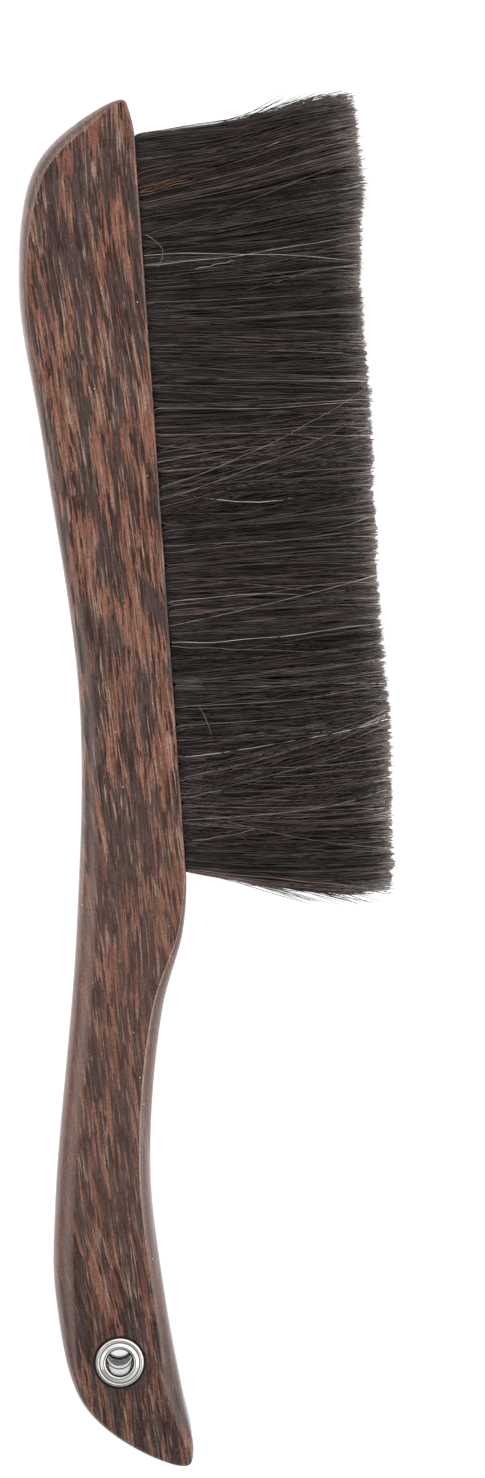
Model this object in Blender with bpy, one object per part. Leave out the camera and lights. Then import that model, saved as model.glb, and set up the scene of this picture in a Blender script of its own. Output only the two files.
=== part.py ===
"""Neck duster brush: a solid wood stock, three staggered rows of hair tufts and two hanging eyelets.

The brush lies on its side on a table. +Z is up, +Y runs along the straight bristle face towards
the tip of the head, and the hair points along +X. The origin is on the table, under the middle
of the head. All sizes are in metres.
"""

import math

import bmesh
import bpy
from mathutils import Vector

MM = 0.001

# Clearance between two pieces that touch on the real brush
CLEARANCE = 0.3 * MM

# Stock: one board of hardwood
STOCK_THICKNESS = 22.0 * MM
FACE_FORWARD = 12.0 * MM    # origin to the bristle face
FACE_LENGTH = 168.0 * MM    # the flat bristle face, with the origin level with its middle
NOSE_LENGTH = 8.2 * MM      # upper end of the bristle face to the tip of the head
HANDLE_LENGTH = 131.9 * MM  # lower end of the bristle face to the end of the handle
HEAD_DEPTH = 28.1 * MM      # bristle face to the fullest part of the head's back
WAIST_DEPTH = 21.2 * MM     # bristle face to the hollow of the back
GRIP_BACK = 35.7 * MM       # plane of the bristle face to the back of the grip
GRIP_FRONT = 12.7 * MM      # plane of the bristle face to the front of the grip
END_FRONT = 7.3 * MM        # plane of the bristle face to the front corner of the handle's end
TIP_SETBACK = 2.5 * MM      # plane of the bristle face to the tip of the head

# Rounded edges of the board
FACE_EDGE_RADIUS = 0.8 * MM     # round the bristle face
TIP_EDGE_RADIUS = 1.4 * MM      # at the tip of the head and the heel
BROW_EDGE_RADIUS = 2.4 * MM     # between the tip and the fullest part of the head, and on the neck
HEAD_EDGE_RADIUS = 2.0 * MM     # at the fullest part of the head
BACK_EDGE_RADIUS = 3.4 * MM     # along the hollow back, and near the handle's end
GRIP_EDGE_RADIUS = 4.4 * MM     # along the back of the grip
PALM_EDGE_RADIUS = 2.6 * MM     # along the front of the grip
END_EDGE_RADIUS = 1.0 * MM      # round the handle's end
EDGE_STEPS = 3
OUTLINE_STEPS = 5           # points on the outline between two of its control points

# Tufts: bundles of hair, each folded once and set in its own blind hole
TUFTS_IN_OUTER_ROW = 19
HOLE_RADIUS = 2.8 * MM
HOLE_DEPTH = 13.0 * MM
HOLE_SIDES = 12
END_MARGIN = 0.4 * MM       # wood on the flat face beyond the last hole of an outer row
SIDE_MARGIN = 1.7 * MM      # wood between the outer rows and the board's sides
TUFT_PITCH = (FACE_LENGTH - 2 * (END_MARGIN + HOLE_RADIUS)) / (TUFTS_IN_OUTER_ROW - 1)
ROW_PITCH = STOCK_THICKNESS / 2 - SIDE_MARGIN - HOLE_RADIUS

# Hair block: how the tufts spread from the face to the trimmed ends
HAIR_LENGTH_HEAD = 50.6 * MM    # at the tip of the head
HAIR_LENGTH_HEEL = 46.4 * MM    # at the heel of the face
HAIR_SPREAD_HEAD = 7.0 * MM     # how far the last tips reach past the upper end of the face
HAIR_SPREAD_HEEL = 6.0 * MM     # and past its lower end
HAIR_TIPS_ABOVE = FACE_LENGTH / 2 + HAIR_SPREAD_HEAD
HAIR_TIPS_BELOW = FACE_LENGTH / 2 + HAIR_SPREAD_HEEL
HAIR_TIPS_THICKNESS = STOCK_THICKNESS - 2 * CLEARANCE
TUFT_GAP = 0.3 * MM             # between neighbouring tufts
# Shares of a tuft's length, of its cell that it fills there, and of its corners that are cut off
TUFT_LEVELS = ((0.10, 0.55, 0.45), (0.36, 0.90, 0.25), (1.0, 1.0, 0.15))
ROOT_COLLAR = 0.4 * MM          # the tuft stays round up to here, above the bristle face

# Eyelets: one from each side of the hanging hole
EYELET_BORE_RADIUS = 3.0 * MM
EYELET_WALL = 0.4 * MM
EYELET_FLANGE_RADIUS = 5.6 * MM
EYELET_CROWN_RADIUS = 4.65 * MM     # where the rolled flange is highest
EYELET_CROWN_HEIGHT = 0.95 * MM
EYELET_THROAT_DEPTH = 0.9 * MM      # the flange's lip turns into the straight barrel here
FRONT_BARREL_LENGTH = 10.1 * MM
REAR_BARREL_LENGTH = 1.75 * MM
EYELET_FROM_END = 24.5 * MM         # centre of the hole to the end of the handle
EYELET_ACROSS = 0.535              # share of the way across the handle, from its front
EYELET_SIDES = 48
ARC_STEPS = 4

# Colours, roughness and metallic value of each material
WOOD = ("dark_striped_hardwood", (0.09, 0.045, 0.032, 1.0), 0.38, 0.0)
HAIR = ("dark_horse_hair", (0.022, 0.014, 0.012, 1.0), 0.5, 0.0)
NICKEL = ("nickel_plate", (0.72, 0.70, 0.67, 1.0), 0.22, 1.0)

CUTTER_OVERSHOOT = 2.0 * MM
HALF = STOCK_THICKNESS / 2


def clear_scene():
    for obj in list(bpy.data.objects):
        bpy.data.objects.remove(obj)


def material(name, colour, roughness, metallic):
    made = bpy.data.materials.new(name)
    made.use_nodes = True
    shader = made.node_tree.nodes["Principled BSDF"]
    shader.inputs["Base Color"].default_value = colour
    shader.inputs["Roughness"].default_value = roughness
    shader.inputs["Metallic"].default_value = metallic
    return made


def object_from(bm, name, finish=None):
    """A new object holding this bmesh, with its faces pointing out."""
    bmesh.ops.recalc_face_normals(bm, faces=bm.faces)
    mesh = bpy.data.meshes.new(name)
    bm.to_mesh(mesh)
    bm.free()
    if finish:
        mesh.materials.append(finish)
    obj = bpy.data.objects.new(name, mesh)
    bpy.context.scene.collection.objects.link(obj)
    return obj


def smooth(obj, degrees=35):
    obj.data.shade_smooth()
    obj.data.set_sharp_from_angle(angle=math.radians(degrees))


def blend(a, b, share):
    return a + (b - a) * share


def skin(bm, rings, cap_ends=True):
    """Quads between rings of as many vertices each, and a flat cap on the first and the last."""
    for low, high in zip(rings, rings[1:]):
        for i in range(len(low)):
            j = (i + 1) % len(low)
            bm.faces.new((low[i], low[j], high[j], high[i]))
    if cap_ends:
        bm.faces.new(rings[0][::-1])
        bm.faces.new(rings[-1])


# ---------------------------------------------------------------- stock


def nose_y(share):
    return FACE_LENGTH / 2 + share * NOSE_LENGTH


def head_y(share):
    return share * nose_y(1.0)


def handle_y(share):
    return -FACE_LENGTH / 2 - share * HANDLE_LENGTH


def control_points():
    """(x, y, edge radius) from the face's upper end round the back to its lower end.

    x is measured from the plane of the bristle face, and is negative behind it.
    """

    def head_x(share):
        return -blend(TIP_SETBACK, HEAD_DEPTH, share)

    def waist_x(share):
        return -blend(HEAD_DEPTH, WAIST_DEPTH, share)

    def grip_x(share):
        return -blend(WAIST_DEPTH, GRIP_BACK, share)

    def end_x(share):
        return -blend(GRIP_BACK, END_FRONT, share)

    def palm_x(share):
        return -blend(END_FRONT, GRIP_FRONT, share)

    def neck_x(share):
        return -blend(GRIP_FRONT, 0, share)

    points = [
        (0, nose_y(0.0), FACE_EDGE_RADIUS),
        (-TIP_SETBACK * 0.42, nose_y(0.68), TIP_EDGE_RADIUS),
        (-TIP_SETBACK, nose_y(1.0), TIP_EDGE_RADIUS),
        (head_x(0.372), head_y(0.960), BROW_EDGE_RADIUS),
        (head_x(0.80), head_y(0.847), BROW_EDGE_RADIUS),
        (-HEAD_DEPTH, head_y(0.570), HEAD_EDGE_RADIUS),
        (waist_x(0.42), head_y(0.170), BROW_EDGE_RADIUS),
        (-WAIST_DEPTH, head_y(-0.460), BACK_EDGE_RADIUS),
        (grip_x(0.292), handle_y(0.080), GRIP_EDGE_RADIUS),
        (grip_x(0.90), handle_y(0.532), GRIP_EDGE_RADIUS),
        (-GRIP_BACK, handle_y(0.700), GRIP_EDGE_RADIUS),
        (end_x(0.158), handle_y(0.883), GRIP_EDGE_RADIUS),
        (end_x(0.600), handle_y(0.974), BACK_EDGE_RADIUS),
        (end_x(0.955), handle_y(1.0), END_EDGE_RADIUS),
        (-END_FRONT, handle_y(0.978), END_EDGE_RADIUS),
        (palm_x(0.28), handle_y(0.890), BACK_EDGE_RADIUS),
        (palm_x(0.72), handle_y(0.740), PALM_EDGE_RADIUS),
        (-GRIP_FRONT, handle_y(0.487), PALM_EDGE_RADIUS),
        (neck_x(0.408), handle_y(0.225), BROW_EDGE_RADIUS),
        (neck_x(0.874), handle_y(0.092), TIP_EDGE_RADIUS),
        (0, handle_y(0.0), FACE_EDGE_RADIUS),
    ]
    return [Vector(point) for point in points]


def spline(points, steps):
    """A smooth curve through the points: cubic pieces with tangents set by the chord lengths."""
    first = points[0] * 2 - points[1]
    last = points[-1] * 2 - points[-2]
    first.x = last.x = 0
    held = [first, *points, last]
    made = []
    for p0, p1, p2, p3 in zip(held, held[1:], held[2:], held[3:]):
        before, chord, after = ((b - a).length ** 0.5 for a, b in ((p0, p1), (p1, p2), (p2, p3)))
        start = (p1 - p0) / before - (p2 - p0) / (before + chord) + (p2 - p1) / chord
        end = (p2 - p1) / chord - (p3 - p1) / (chord + after) + (p3 - p2) / after
        for k in range(steps):
            t = k / steps
            made.append(
                p1 * (2 * t**3 - 3 * t**2 + 1)
                + start * chord * (t**3 - 2 * t**2 + t)
                + p2 * (3 * t**2 - 2 * t**3)
                + end * chord * (t**3 - t**2)
            )
    made.append(points[-1])
    return made


def stock_rings(steps):
    """The board's outline at each level, from its underside up, inset round the rounded edges."""
    outline = spline(control_points(), steps)
    count = len(outline)
    inward = []
    for i, point in enumerate(outline):
        along = outline[(i + 1) % count] - outline[i - 1]
        side = Vector((-along.y, along.x)).normalized()
        inward.append(side if point is not outline[0] and point is not outline[-1] else Vector((-1, 0)))
    rings = []
    for side in (-1, 1):
        for k in range(EDGE_STEPS + 1):
            turn = math.pi / 2 * (EDGE_STEPS - k if side < 0 else k) / EDGE_STEPS
            ring = []
            for point, normal in zip(outline, inward):
                inset = point.z * (1 - math.cos(turn))
                height = HALF - point.z * (1 - math.sin(turn))
                place = point.xy + normal * inset
                ring.append((place.x + FACE_FORWARD, place.y, HALF + side * height))
            rings.append(ring)
    return rings


def cylinder(bm, centre, axis, radius, length, sides):
    """A cylinder from centre along axis, added to bm."""
    turn = Vector(axis).to_track_quat("Z", "Y")
    rings = []
    for height in (0, length):
        ring = []
        for i in range(sides):
            angle = 2 * math.pi * (i + 0.5) / sides
            offset = Vector((radius * math.cos(angle), radius * math.sin(angle), height))
            ring.append(bm.verts.new(Vector(centre) + turn @ offset))
        rings.append(ring)
    skin(bm, rings)


def make_cutter():
    """Every hole in the stock: the blind tuft holes, the hanging hole and the rear eyelet's seat."""
    bm = bmesh.new()
    for _, y, z in tuft_roots():
        mouth = (FACE_FORWARD + CUTTER_OVERSHOOT, y, z)
        cylinder(bm, mouth, (-1, 0, 0), HOLE_RADIUS, HOLE_DEPTH + CUTTER_OVERSHOOT, HOLE_SIDES)
    x, y = eyelet_centre()
    hole_radius = EYELET_BORE_RADIUS + EYELET_WALL + CLEARANCE
    seat_depth = EYELET_CROWN_HEIGHT + CLEARANCE
    seat_radius = EYELET_FLANGE_RADIUS + CLEARANCE
    rings = []
    for z, radius in (
        (-CUTTER_OVERSHOOT, seat_radius),
        (seat_depth, seat_radius),
        (seat_depth, hole_radius),
        (STOCK_THICKNESS + CUTTER_OVERSHOOT, hole_radius),
    ):
        angles = [2 * math.pi * i / EYELET_SIDES for i in range(EYELET_SIDES)]
        rings.append(
            [bm.verts.new((x + radius * math.cos(a), y + radius * math.sin(a), z)) for a in angles]
        )
    skin(bm, rings)
    cutter = object_from(bm, "hole_cutter")
    cutter.hide_render = True
    cutter.display_type = "WIRE"
    return cutter


def make_stock(finish):
    bm = bmesh.new()
    rings = [[bm.verts.new(place) for place in ring] for ring in stock_rings(OUTLINE_STEPS)]
    skin(bm, rings)
    stock = object_from(bm, "wooden_handle", finish)
    drill = stock.modifiers.new("drill", "BOOLEAN")
    drill.operation = "DIFFERENCE"
    drill.solver = "EXACT"
    drill.object = make_cutter()
    smooth(stock)
    return stock


# ---------------------------------------------------------------- tufts


def rows():
    """(name, number across the face, tufts in the row): the middle row is staggered by half a pitch."""
    return (
        ("lower", -1, TUFTS_IN_OUTER_ROW),
        ("middle", 0, TUFTS_IN_OUTER_ROW - 1),
        ("upper", 1, TUFTS_IN_OUTER_ROW),
    )


def tuft_roots():
    """(name, y, z) of each hole in the bristle face, counted from the heel."""
    for name, across, count in rows():
        for i in range(count):
            y = (i - (count - 1) / 2) * TUFT_PITCH
            yield f"tuft_{name}_{i + 1:02d}", y, HALF + across * ROW_PITCH


def hair_length(y):
    """The trimmed length above the bristle face, at y along the ends of the hair."""
    share = (y + HAIR_TIPS_BELOW) / (HAIR_TIPS_ABOVE + HAIR_TIPS_BELOW)
    return blend(HAIR_LENGTH_HEEL, HAIR_LENGTH_HEAD, share)


def section(half_y, half_z, cut):
    """Eight corners of a rectangle with its corners cut by this share of its sides."""
    short_y, short_z = half_y * (1 - cut), half_z * (1 - cut)
    return (
        (short_y, -half_z),
        (half_y, -short_z),
        (half_y, short_z),
        (short_y, half_z),
        (-short_y, half_z),
        (-half_y, short_z),
        (-half_y, -short_z),
        (-short_y, -half_z),
    )


def make_tuft(name, root_y, across, place, count, finish):
    """One tuft: a round root in its hole, spreading to fill its own cell of the trimmed ends."""
    plug_half = (HOLE_RADIUS - CLEARANCE) * math.cos(math.pi / 8)
    round_cut = 1 - math.tan(math.pi / 8)
    tip_pitch = (HAIR_TIPS_ABOVE + HAIR_TIPS_BELOW) / count
    tip_y = (place + 0.5) * tip_pitch - HAIR_TIPS_BELOW
    tip_row_pitch = HAIR_TIPS_THICKNESS / len(rows())
    levels = ((None, 0.0, round_cut), (0.0, 0.0, round_cut), *TUFT_LEVELS)
    bm = bmesh.new()
    rings = []
    for share, fill, cut in levels:
        above = share or 0.0
        centre_y = blend(root_y, tip_y, above)
        centre_z = HALF + across * blend(ROW_PITCH, tip_row_pitch, above)
        cell_y = blend(TUFT_PITCH, tip_pitch, above) / 2 - TUFT_GAP / 2
        cell_z = blend(ROW_PITCH, tip_row_pitch, above) / 2 - TUFT_GAP / 2
        half_y = blend(plug_half, cell_y, fill)
        half_z = blend(plug_half, cell_z, fill)
        ring = []
        for dy, dz in section(half_y, half_z, cut):
            y, z = centre_y + dy, centre_z + dz
            x = blend(ROOT_COLLAR, hair_length(y), above)
            if share is None:
                x = CLEARANCE - HOLE_DEPTH
            ring.append(bm.verts.new((x, y - root_y, z - HALF - across * ROW_PITCH)))
        rings.append(ring)
    skin(bm, rings)
    tuft = object_from(bm, name, finish)
    tuft.location = (FACE_FORWARD, root_y, HALF + across * ROW_PITCH)
    smooth(tuft)
    return tuft


def make_tufts(finish):
    roots = tuft_roots()
    for _, across, count in rows():
        for place in range(count):
            name, y, _ = next(roots)
            make_tuft(name, y, across, place, count, finish)


# ---------------------------------------------------------------- eyelets


def eyelet_centre():
    behind = blend(END_FRONT, GRIP_BACK, EYELET_ACROSS)
    return FACE_FORWARD - behind, handle_y(1.0) + EYELET_FROM_END


def quarter(centre, radii, start, end):
    """Points (r, z) on a quarter of an ellipse."""
    angles = [math.radians(blend(start, end, k / ARC_STEPS)) for k in range(ARC_STEPS + 1)]
    return [(centre[0] + radii[0] * math.cos(a), centre[1] + radii[1] * math.sin(a)) for a in angles]


def eyelet_profile(barrel_length):
    """The section of an eyelet: its rolled flange and its barrel, seated at z = 0."""
    roll = Vector((EYELET_FLANGE_RADIUS - EYELET_CROWN_RADIUS, EYELET_CROWN_HEIGHT))
    lip = Vector(
        (EYELET_CROWN_RADIUS - EYELET_BORE_RADIUS, EYELET_CROWN_HEIGHT + EYELET_THROAT_DEPTH)
    )
    wall = Vector((EYELET_WALL, EYELET_WALL))
    roll_centre = (EYELET_CROWN_RADIUS, 0)
    lip_centre = (EYELET_CROWN_RADIUS, -EYELET_THROAT_DEPTH)
    seen = quarter(roll_centre, roll, 0, 90) + quarter(lip_centre, lip, 90, 180)[1:]
    hidden = quarter(lip_centre, lip - wall, 180, 90) + quarter(roll_centre, roll - wall, 90, 0)[1:]
    end = [
        (EYELET_BORE_RADIUS, -barrel_length),
        (EYELET_BORE_RADIUS + EYELET_WALL, -barrel_length),
    ]
    return seen + end + hidden


def make_eyelet(name, barrel_length, finish):
    """An eyelet turned about its own Z axis, with its flange's seat at its origin."""
    bm = bmesh.new()
    profile = eyelet_profile(barrel_length)
    rings = []
    for r, z in profile + profile[:1]:
        angles = [2 * math.pi * i / EYELET_SIDES for i in range(EYELET_SIDES)]
        rings.append([bm.verts.new((r * math.cos(a), r * math.sin(a), z)) for a in angles])
    skin(bm, rings, cap_ends=False)
    bmesh.ops.remove_doubles(bm, verts=rings[0] + rings[-1], dist=CLEARANCE / 100)
    eyelet = object_from(bm, name, finish)
    smooth(eyelet)
    return eyelet


def make_eyelets(finish):
    x, y = eyelet_centre()
    front = make_eyelet("front_eyelet", FRONT_BARREL_LENGTH, finish)
    front.location = (x, y, STOCK_THICKNESS + CLEARANCE)
    rear = make_eyelet("rear_eyelet", REAR_BARREL_LENGTH, finish)
    rear.location = (x, y, EYELET_CROWN_HEIGHT)
    rear.rotation_euler = (math.pi, 0, 0)


def main():
    clear_scene()
    make_stock(material(*WOOD))
    make_tufts(material(*HAIR))
    make_eyelets(material(*NICKEL))


main()
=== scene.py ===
"""Looks of the neck duster brush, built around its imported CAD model.

The brush lies on its side. +Z is up, +Y runs along the bristle face towards the tip of the head,
and the hair points along +X. Sizes are in metres, but for those in the node trees and in the lists
that say so, which are in millimetres.
"""

import math

import bmesh
import bpy
import numpy as np
from mathutils import Matrix, Vector


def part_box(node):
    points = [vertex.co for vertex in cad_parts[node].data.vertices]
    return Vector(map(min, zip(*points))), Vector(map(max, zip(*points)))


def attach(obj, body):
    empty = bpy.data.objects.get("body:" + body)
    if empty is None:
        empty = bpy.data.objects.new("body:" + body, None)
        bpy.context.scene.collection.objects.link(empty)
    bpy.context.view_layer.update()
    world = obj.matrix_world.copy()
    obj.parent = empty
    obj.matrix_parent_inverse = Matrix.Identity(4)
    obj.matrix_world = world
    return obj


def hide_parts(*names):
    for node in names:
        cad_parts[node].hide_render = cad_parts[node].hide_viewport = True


MM = 0.001
SEED = 7

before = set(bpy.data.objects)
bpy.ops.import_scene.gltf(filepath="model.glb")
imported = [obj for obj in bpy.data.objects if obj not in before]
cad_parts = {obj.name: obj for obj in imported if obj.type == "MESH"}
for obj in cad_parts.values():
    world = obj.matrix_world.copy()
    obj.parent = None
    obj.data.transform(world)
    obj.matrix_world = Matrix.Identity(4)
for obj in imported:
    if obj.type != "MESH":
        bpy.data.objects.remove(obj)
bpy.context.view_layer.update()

# The board. Its outline keeps within half a millimetre of the CAD solid's; the roundings at the tip,
# at the bristle face and at the handle's end are crisper than the solid's, and the forehead's is wider.
STOCK_LOW, STOCK_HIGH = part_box("wooden_handle")
THICKNESS = STOCK_HIGH.z - STOCK_LOW.z
HALF = THICKNESS / 2
FACE_X = STOCK_HIGH.x           # the plane of the bristle face
FACE_LENGTH = 168.0 * MM
NOSE_LENGTH = 8.25 * MM         # upper end of the bristle face to the tip of the head
HANDLE_LENGTH = 131.9 * MM      # lower end of the bristle face to the end of the handle
HEAD_DEPTH = 28.5 * MM          # this and those below: behind the bristle face
WAIST_DEPTH = 21.3 * MM
GRIP_BACK = 35.9 * MM
GRIP_FRONT = 12.5 * MM
END_FRONT = 7.3 * MM
TIP_SETBACK = 1.9 * MM

# Radii of its rounded edges, from the tip of the head round to the bristle face
NOSE_EDGE = 0.65 * MM
FOREHEAD_EDGE = 3.1 * MM
HEAD_EDGE = 2.0 * MM
BROW_EDGE = 2.4 * MM
BACK_EDGE = 3.4 * MM
GRIP_EDGE = 4.4 * MM
CORNER_EDGE = 1.3 * MM
END_EDGE = 0.8 * MM
PALM_EDGE = 2.6 * MM
TIP_EDGE = 1.1 * MM
FACE_EDGE = 0.5 * MM
ROUNDING_DEPTH = 4.4 * MM       # how far down the board's sides the wide ones reach
EDGE_START = math.radians(24)   # slope at which a wide rounding leaves the flat side
EDGE_FALL = -1.25               # how that slope changes with the rounding's depth
OUTLINE_STEPS = 12
EDGE_STEPS = 8
FLAT_RIM = 0.12 * MM

# The tuft holes
HOLE_RADIUS = 2.8 * MM
HOLE_DEPTH = 13.0 * MM
HOLE_SIDES = 12
MOUTH = 0.6 * MM                # the chamfer at the mouth
TUFT_PITCH = 8.978 * MM

# The wire at the bottom of each hole
WIRE_LENGTH = 4.9 * MM
WIRE_THICKNESS = 0.34 * MM
WIRE_FROM_TO = FACE_X - HOLE_DEPTH + 0.35 * MM, FACE_X - HOLE_DEPTH + 1.4 * MM

# The eyelets and their hole
eyelet_low, eyelet_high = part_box("front_eyelet")
EYELET_X = (eyelet_low.x + eyelet_high.x) / 2
EYELET_Y = (eyelet_low.y + eyelet_high.y) / 2
EYELET_SIDES = 128
FLANGE_RADIUS = 5.6 * MM
FRONT_LOW = 12.2 * MM           # the front barrel's lower end
FRONT_HOLE = 3.45 * MM
FRONT_SEAT = 5.85 * MM
FRONT_SEAT_DEPTH = 0.80 * MM
REAR_BARREL_TOP = 2.3 * MM
REAR_HOLE = 3.25 * MM
REAR_SEAT = 5.9 * MM
REAR_SEAT_DEPTH = 1.25 * MM

# Marks that the drill left in the wood between the barrels: depth and height, in millimetres
DRILL_MARKS = (
    (0.08, 3.0), (0.0, 3.9), (0.09, 4.9), (0.02, 5.9), (0.10, 6.7),
    (0.01, 8.1), (0.08, 9.2), (0.0, 10.3), (0.07, 11.2),
)

# The crown, the groove and the bead of the front flange: radius and height over the wood, in
# millimetres, as slopes of about 28 degrees with small roundings between them
FLANGE = (
    (3.30, 0.79), (3.46, 0.87), (3.53, 0.90), (3.60, 0.905), (3.67, 0.88), (3.74, 0.845), (4.24, 0.58),
    (4.34, 0.53), (4.42, 0.50), (4.56, 0.50), (4.64, 0.53), (4.88, 0.65), (4.93, 0.675), (5.00, 0.68),
    (5.06, 0.65), (5.11, 0.615), (5.30, 0.505), (5.37, 0.43), (5.42, 0.33), (5.45, 0.20), (5.46, 0.05),
)

# The hair. The tips of each lock gather; at both ends of the row those of smaller bundles do instead.
HAIRS_PER_TUFT = 620
LOCKS_PER_TUFT = 16
BUNDLES = 70
HAIR_RADIUS = 0.088 * MM
HAIR_SIDES = 3
STATIONS = np.array([0.0, 0.006, 0.015, 0.035, 0.09, 0.20, 0.36, 0.54, 0.72, 0.88, 0.96, 1.0])
ROOT_DEPTHS = np.array([-11.5, -4.0, -0.6]) * MM
HOLE_MARGIN = 0.35 * MM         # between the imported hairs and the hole's wall
TABLE_CLEARANCE = 0.25 * MM     # between the hairs and both sides of the board
MOUTH_SPREAD = 0.72             # share of its room that a tuft fills as it leaves its hole
FAN_SHARE = 0.011               # share of the length over which it comes to fill all of it
END_SHARE = (0.82, 0.42)        # the outer hairs' share of their room at the first and the last tufts
GATHER = 0.42                   # how far the tips of a lock close up
BROKEN_SHARE = 0.03             # hairs that end early
DRIFT = (1.9 * MM, 0.6 * MM)    # how far tips stray along the row and up, as standard deviations
CROSSING = 0.28                 # share of the hairs that stray further
WAVE, WILD_WAVE, LOCK_WAVE = 0.25 * MM, 1.5 * MM, 0.28 * MM
FRIZZ, MOST_FRIZZ = 1.2 * MM, 2.6 * MM
SWEPT_ABOVE = 16.5 * MM         # height from which the hairs of the top layer are swept
RAGGED_FROM, RAGGED_TO = 35 * MM, 75 * MM   # the tips get ragged between these places

# Bumps along the row: place, width and size, the first two in millimetres. They are the share of ruddy
# hairs, the degrees that the top hairs are swept by, and how far the shears strayed out in millimetres.
RUDDY_LOCKS = ((72, 2.0, 0.35), (-30, 2.0, 0.35))
SWEEPS = ((70, 5, 6), (33, 19, -7), (1, 8, 12), (-64, 11, 17), (-36, 8, 4))
TRIM = ((-82, 9, 0.5), (-64, 8, 0.6), (-50, 17, 1.0), (43, 13, -0.7), (72, 7, 1.4))

# Colours of the hair: its kinds, and how pale its tips and roots get
DARK_HAIR, RUDDY_HAIR = (0.0740, 0.0600, 0.0555), (0.122, 0.075, 0.064)
GREY_HAIR, PALE_HAIR = (0.195, 0.172, 0.160), (0.25, 0.20, 0.175)
# the tips' paling is partly their own colour and partly painted light shining through their thin ends
FADE_AND_LIGHT_TINT = (1.10, 0.98, 0.92)
TIP_FADE_AND_LIGHT = 2.8
ROOT_FADE = 0.3

# Single hairs that lie on top: three places each, in millimetres out from the bristle face and along
# it, and a colour
STRAY_RADIUS = 0.085 * MM
STRAY_STEPS = 25
WHITE, TAN, PINK = (0.66, 0.60, 0.55), (0.36, 0.25, 0.18), (0.42, 0.31, 0.28)
RUST = (0.34, 0.165, 0.09)
STRAY_HAIRS = [
    ((0.3, 70.8), (5.5, 71.6), (13.0, 73.1), RUST),
    ((0.3, 71.3), (5.0, 72.1), (11.0, 73.2), RUST),
    ((0.3, 71.9), (4.0, 72.6), (8.5, 73.6), RUST),
    ((0.3, 54.5), (22.0, 55.4), (49.0, 58.5), WHITE),
    ((0.3, 56.7), (23.0, 55.6), (48.6, 52.6), WHITE),
    ((11.6, 52.8), (16.2, 53.6), (20.5, 54.2), WHITE),
    ((0.8, 61.2), (4.4, 57.9), (3.0, 53.8), PINK),
    ((0.3, 4.0), (26.0, 12.5), (49.0, 24.0), PINK),
    ((0.3, 1.5), (24.0, 8.0), (49.0, 18.0), TAN),
    ((0.3, -22.0), (14.0, -21.3), (30.0, -22.1), WHITE),
    ((0.3, -25.0), (7.3, -24.8), (15.0, -24.2), TAN),
    ((0.3, -31.0), (20.0, -31.4), (48.0, -29.7), WHITE),
    ((0.3, -31.9), (16.0, -33.6), (39.4, -35.9), TAN),
    ((2.2, -45.4), (23.0, -45.8), (46.5, -44.0), PINK),
    ((5.6, -45.7), (6.9, -48.9), (7.8, -52.1), PINK),
    ((35.3, -56.1), (41.3, -53.8), (47.6, -51.8), TAN),
    ((36.6, -57.3), (42.2, -57.3), (47.5, -56.7), PINK),
    ((21.1, -63.0), (34.0, -62.6), (46.9, -62.1), TAN),
    ((0.3, -66.1), (4.4, -65.7), (9.2, -64.9), TAN),
    ((1.9, -75.9), (9.4, -75.3), (16.2, -74.4), PINK),
    ((0.3, -82.3), (25.5, -86.6), (44.2, -89.9), TAN),
]

# Loose hairs at the heel and at the head: side, number, how far the block of hair fans out, the length
# that it takes for it, the bend of its border, and how far a loose hair stands off, in millimetres
WISPS = [(-1, 36, 6.5, 45.0, 1.6, 3.3), (1, 30, 6.9, 46.0, 0.80, 3.0)]
WISP_COLOUR = (0.060, 0.042, 0.036)

# Camera
CAMERA_EYE = Vector((-4.6, -60.1, 647.0)) * MM
CAMERA_TARGET = Vector((26.8, -53.8, 22.0)) * MM
CAMERA_ROLL = math.radians(4.008)
CAMERA_LENS = 67.6

# Light: how bright the floor looks, the light on matt surfaces, and the studio that gloss mirrors, with
# its ceiling, its horizon and the brightness on its four sides
FLOOR_LIFT = 0.82
SKY_LIGHT = 0.83
ZENITH = 0.16
ZENITH_TILT = -0.12
HORIZON = 0.4
HORIZON_TILT = 0.15
LEFT_SIDE = 0.7
RIGHT_SIDE = 1.34
END_SIDE = 0.62
HEAD_SIDE = 1.28

# Softboxes: place, length, width and power
SOFTBOXES = {
    "left_softbox": ((-0.80, -0.05, 0.60), 1.2, 0.34, 0.55),
    "right_softbox": ((0.84, -0.05, 0.545), 1.2, 0.30, 0.7),
}
SOFTBOX_AIM = (0, -0.05, 0)

# Grain of the wood: its lean at the handle's end, and how it turns at places along y, in millimetres
GRAIN_AT_END = math.radians(6)
GRAIN_TURNS = ((-160, -3.5), (-90, 1), (-35, -2), (3, 4), (58, -5))
GRAIN_EASE = 12

# Colours of the wood, from the stripes to what lies over them
CHARCOAL = ((0.080, 0.039, 0.030), (0.102, 0.065, 0.058))
FLAME = ((0.182, 0.070, 0.042), (0.340, 0.140, 0.090))
THREAD = (0.052, 0.020, 0.013)
PORE = (0.430, 0.262, 0.192)
VESSEL = (0.44, 0.29, 0.22)
DASH = (0.42, 0.30, 0.23)
CALM = (0.140, 0.074, 0.057)
# painted highlight on the rounded edges
EDGE_HIGHLIGHT = (0.190, 0.097, 0.071)
# painted highlight on the rounded edges of the head
FOREHEAD = (0.290, 0.170, 0.140)
# painted highlight on the crest of the rounded edges, with flecks of rubbed lacquer
CREST_HIGHLIGHT_AND_WEAR = (0.52, 0.40, 0.34)
SPECK = (0.75, 0.66, 0.58)
# raw wood in the bore, partly painted light: made pale for the light that hardly reaches it
RAW_WOOD_AND_LIGHT = (0.62, 0.44, 0.41)
# painted shade in a ring round the front flange
FLANGE_RING_SHADE = (0.040, 0.024, 0.018)


def blend(a, b, share):
    return a + (b - a) * share


def smoothstep(low, high, value):
    t = np.clip((value - low) / (high - low), 0, 1)
    return t * t * (3 - 2 * t)


# ---------------- node trees


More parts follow.
